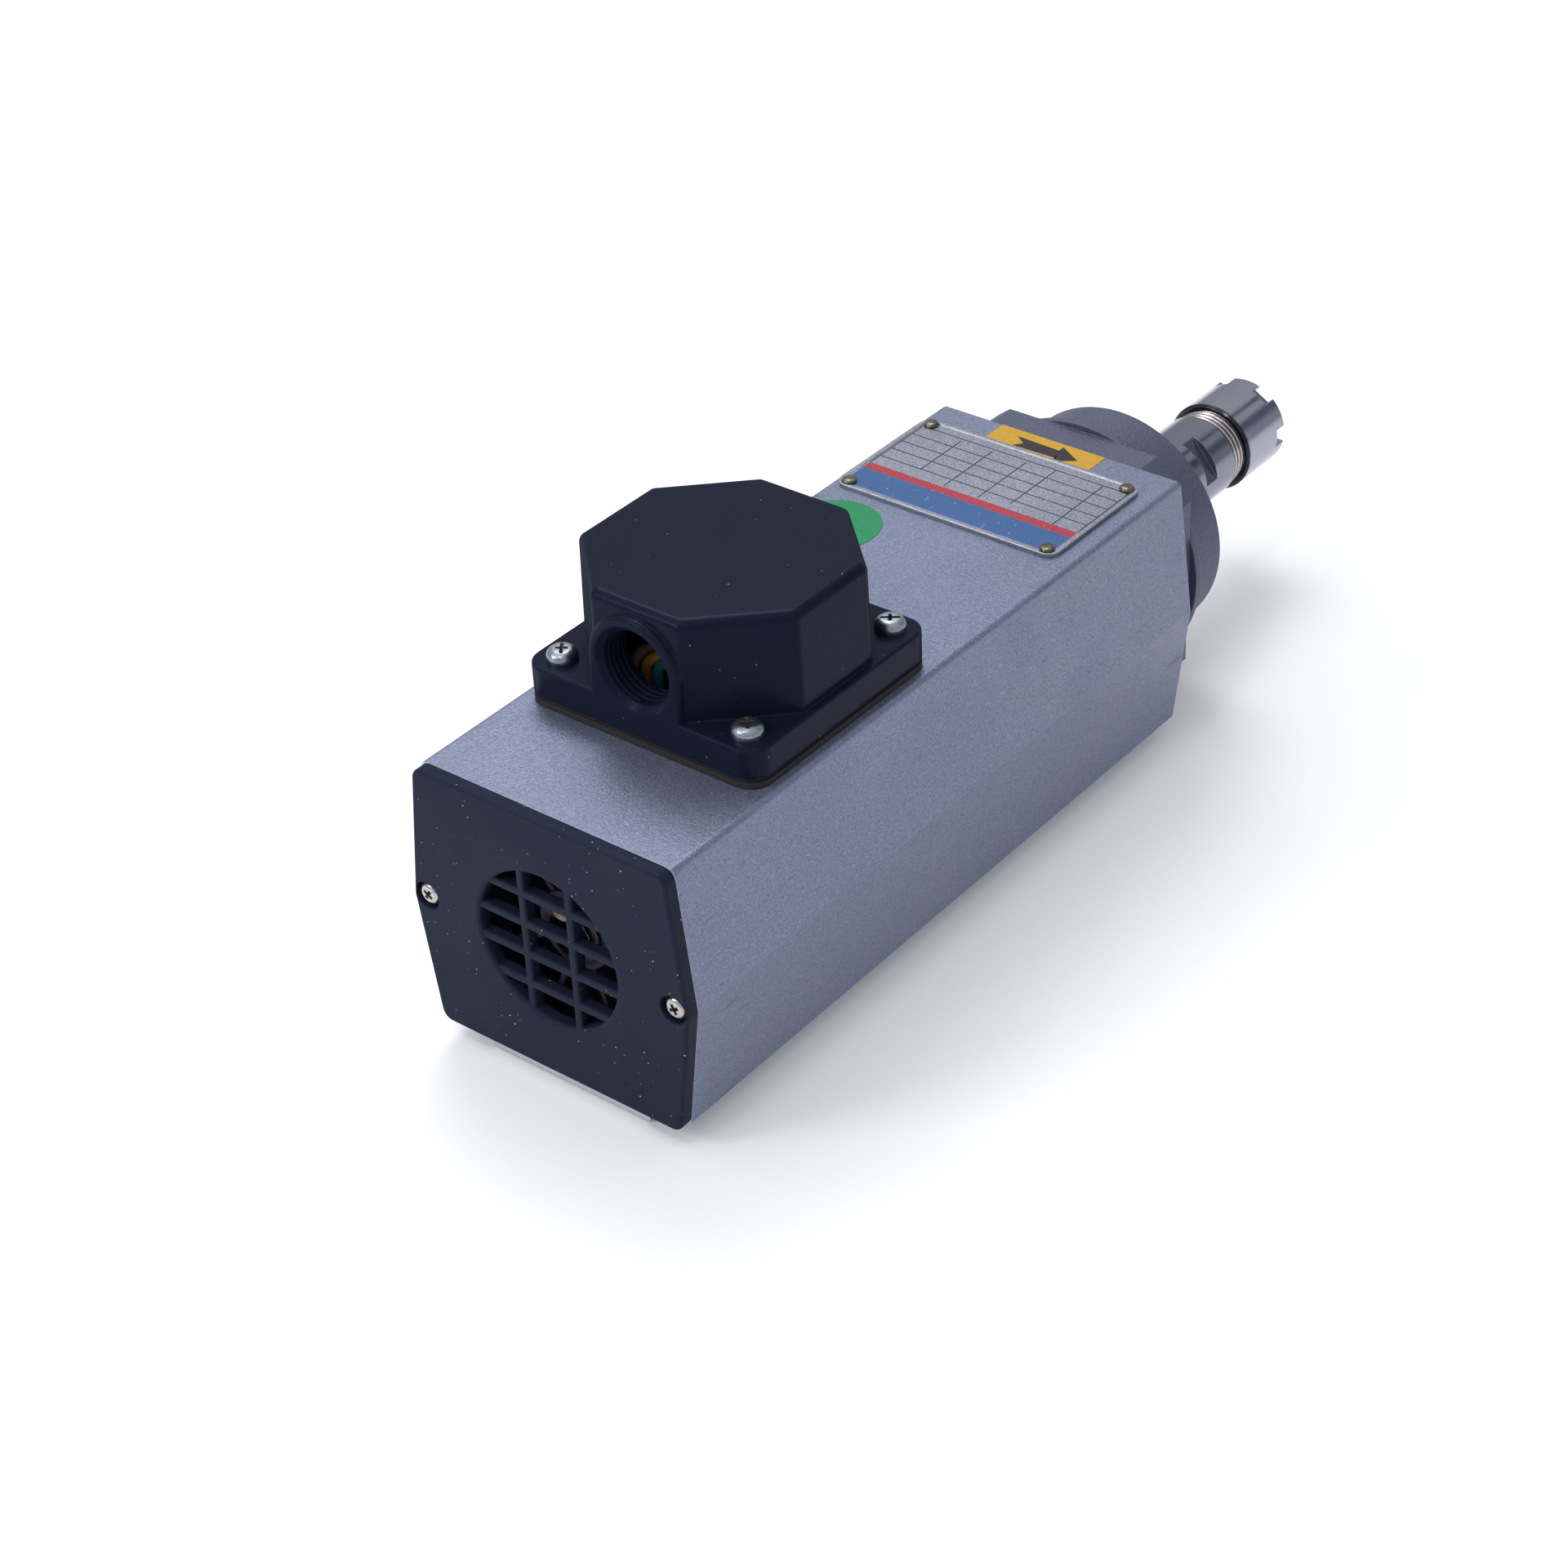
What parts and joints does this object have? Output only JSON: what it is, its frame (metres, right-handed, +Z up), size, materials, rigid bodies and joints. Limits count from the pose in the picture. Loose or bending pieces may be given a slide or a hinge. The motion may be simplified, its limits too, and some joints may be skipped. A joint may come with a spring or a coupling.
{
  "type": "motor spindle",
  "caption": "Fan-cooled motor spindle with a six-sided extruded body, rear grille, octagonal terminal box and a collet nose for a router bit or engraving tool.",
  "frame": {"origin": "centre of the foot's flat underside, which is the mounting face", "axes": "+X along the spindle towards the collet nose, +Y to the left seen from the fan end, +Z up from the mounting face"},
  "size_m": [0.2912, 0.08, 0.11],
  "materials": {
    "anodised_body": "satin, fine blasted grain",
    "cast_alloy": "as cast, matt",
    "black_moulding": "matt",
    "black_box": "satin",
    "gasket": "matt",
    "spindle_steel": "ground",
    "bearing_steel": "ground",
    "zinc_steel": "zinc plated",
    "spring_steel": "blued",
    "core_steel": "stacked sheet",
    "copper": "enamelled",
    "cage_alloy": "die cast",
    "terminal_moulding": "moulded",
    "terminal_brass": "turned",
    "lead_teal": "insulation",
    "lead_yellow": "insulation",
    "lead_brown": "insulation",
    "plate_alloy": "printed",
    "rivet_steel": "dull"
  },
  "bodies": {
    "housing": {"body_extrusion": "anodised_body", "rear_cover": "black_moulding", "rear_cover_screws": "zinc_steel", "rear_shield": "cast_alloy", "front_shield": "cast_alloy", "front_bearing_cover": "spindle_steel", "front_cover_screws": "zinc_steel", "tie_bolts": "zinc_steel", "front_bearing_outer_ring_1": "bearing_steel", "front_bearing_outer_ring_2": "bearing_steel", "rear_bearing_outer_ring": "bearing_steel", "wave_spring": "spring_steel", "stator_core": "core_steel", "stator_windings": "copper", "terminal_box_cover": "black_box", "terminal_gasket": "gasket", "terminal_box_screws": "zinc_steel", "terminal_block": "terminal_moulding", "terminal_studs": "terminal_brass", "motor_lead_u": "lead_teal", "motor_lead_v": "lead_yellow", "motor_lead_w": "lead_brown", "nameplate": "plate_alloy", "nameplate_rivets": "rivet_steel"},
    "rotor": {"spindle_shaft": "spindle_steel", "rotor_core": "core_steel", "rotor_cage_rings": "cage_alloy", "front_bearing_inner_ring_1": "bearing_steel", "front_bearing_inner_ring_2": "bearing_steel", "rear_bearing_inner_ring": "bearing_steel", "bearing_lock_nut": "spring_steel", "cooling_fan": "black_moulding", "fan_circlip": "spring_steel"},
    "collet": {"collet": "spindle_steel"},
    "collet_nut": {"collet_nut": "spindle_steel"},
    "ball_sets": {"bearing_balls": "bearing_steel", "bearing_cages": "terminal_brass"}
  },
  "joints": [
    {"name": "rotor_spin", "type": "hinge", "parent": "housing", "child": "rotor", "pos_m": [0, 0, 0.04], "axis": [1, 0, 0], "continuous": true},
    {"name": "collet_slide", "type": "slide", "parent": "rotor", "child": "collet", "axis": [1, 0, 0], "range_m": [0, 0.009]},
    {"name": "nut_turn", "type": "hinge", "parent": "collet", "child": "collet_nut", "pos_m": [0.18, 0, 0.04], "axis": [1, 0, 0], "range_deg": [0, 2160]},
    {"name": "ball_set_spin", "type": "hinge", "parent": "housing", "child": "ball_sets", "pos_m": [0, 0, 0.04], "axis": [1, 0, 0], "continuous": true}
  ],
  "couplings": [
    {"joint": "collet_slide", "follows": "nut_turn", "m_per_rad": 0.00023873},
    {"joint": "ball_set_spin", "follows": "rotor_spin", "ratio": 0.41}
  ]
}
